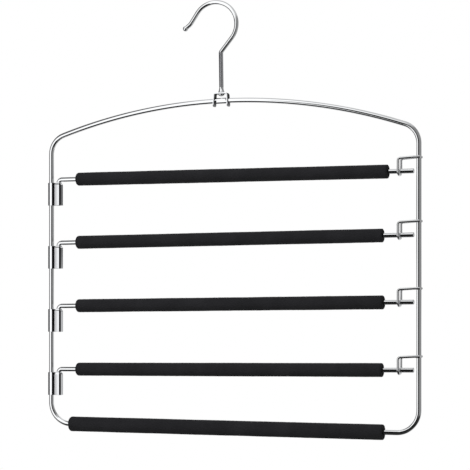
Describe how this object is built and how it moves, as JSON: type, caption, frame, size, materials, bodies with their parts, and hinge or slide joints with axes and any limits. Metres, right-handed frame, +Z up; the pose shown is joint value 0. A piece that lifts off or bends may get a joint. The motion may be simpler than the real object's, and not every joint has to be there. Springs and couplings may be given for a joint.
{
  "type": "multi tier trouser hanger",
  "caption": "Wire frame hanger with a swivel hook, foam sleeved swing arms on side pivots that lift out of wire keepers, and a padded bottom bar, for hanging trousers in tiers.",
  "frame": {"origin": "where the inner top of the hook rests on its rail", "axes": "+Z up, +X to the arms' free ends, -Y the front"},
  "size_m": [0.3977, 0.0152, 0.437],
  "materials": {
    "hook_steel": "polished",
    "saddle_steel": "polished",
    "frame_steel": "polished",
    "arm_steel": "polished",
    "bracket_steel": "polished",
    "keeper_steel": "polished",
    "ring_steel": "satin",
    "black_foam": "matte"
  },
  "bodies": {
    "hook": {"hook": "hook_steel"},
    "frame": {"frame_wire": "frame_steel", "hook_saddle": "saddle_steel", "bottom_foam_sleeve": "black_foam", "arm_1_pivot_bracket": "bracket_steel", "arm_2_pivot_bracket": "bracket_steel", "arm_3_pivot_bracket": "bracket_steel", "arm_4_pivot_bracket": "bracket_steel", "arm_1_keeper": "keeper_steel", "arm_2_keeper": "keeper_steel", "arm_3_keeper": "keeper_steel", "arm_4_keeper": "keeper_steel"},
    "arm_1_ring": {"arm_1_retaining_ring": "ring_steel"},
    "arm_2_ring": {"arm_2_retaining_ring": "ring_steel"},
    "arm_3_ring": {"arm_3_retaining_ring": "ring_steel"},
    "arm_4_ring": {"arm_4_retaining_ring": "ring_steel"},
    "arm_1": {"arm_1_rod": "arm_steel", "arm_1_foam_sleeve": "black_foam"},
    "arm_2": {"arm_2_rod": "arm_steel", "arm_2_foam_sleeve": "black_foam"},
    "arm_3": {"arm_3_rod": "arm_steel", "arm_3_foam_sleeve": "black_foam"},
    "arm_4": {"arm_4_rod": "arm_steel", "arm_4_foam_sleeve": "black_foam"}
  },
  "joints": [
    {"name": "hook_swivel", "type": "hinge", "parent": "hook", "child": "frame", "pos_m": [0.0058, 0, -0.089], "axis": [0, 0, 1], "continuous": true},
    {"name": "arm_1_lift", "type": "slide", "parent": "frame", "child": "arm_1_ring", "axis": [0, 0, 1], "range_m": [0, 0.0172]},
    {"name": "arm_1_swing", "type": "hinge", "parent": "arm_1_ring", "child": "arm_1", "pos_m": [-0.1745, 0, -0.187], "axis": [0, 0, 1], "range_deg": [-140, 140]},
    {"name": "arm_2_lift", "type": "slide", "parent": "frame", "child": "arm_2_ring", "axis": [0, 0, 1], "range_m": [0, 0.0172]},
    {"name": "arm_2_swing", "type": "hinge", "parent": "arm_2_ring", "child": "arm_2", "pos_m": [-0.1745, 0, -0.2525], "axis": [0, 0, 1], "range_deg": [-140, 140]},
    {"name": "arm_3_lift", "type": "slide", "parent": "frame", "child": "arm_3_ring", "axis": [0, 0, 1], "range_m": [0, 0.0172]},
    {"name": "arm_3_swing", "type": "hinge", "parent": "arm_3_ring", "child": "arm_3", "pos_m": [-0.1745, 0, -0.318], "axis": [0, 0, 1], "range_deg": [-140, 140]},
    {"name": "arm_4_lift", "type": "slide", "parent": "frame", "child": "arm_4_ring", "axis": [0, 0, 1], "range_m": [0, 0.0172]},
    {"name": "arm_4_swing", "type": "hinge", "parent": "arm_4_ring", "child": "arm_4", "pos_m": [-0.1745, 0, -0.3835], "axis": [0, 0, 1], "range_deg": [-140, 140]}
  ]
}
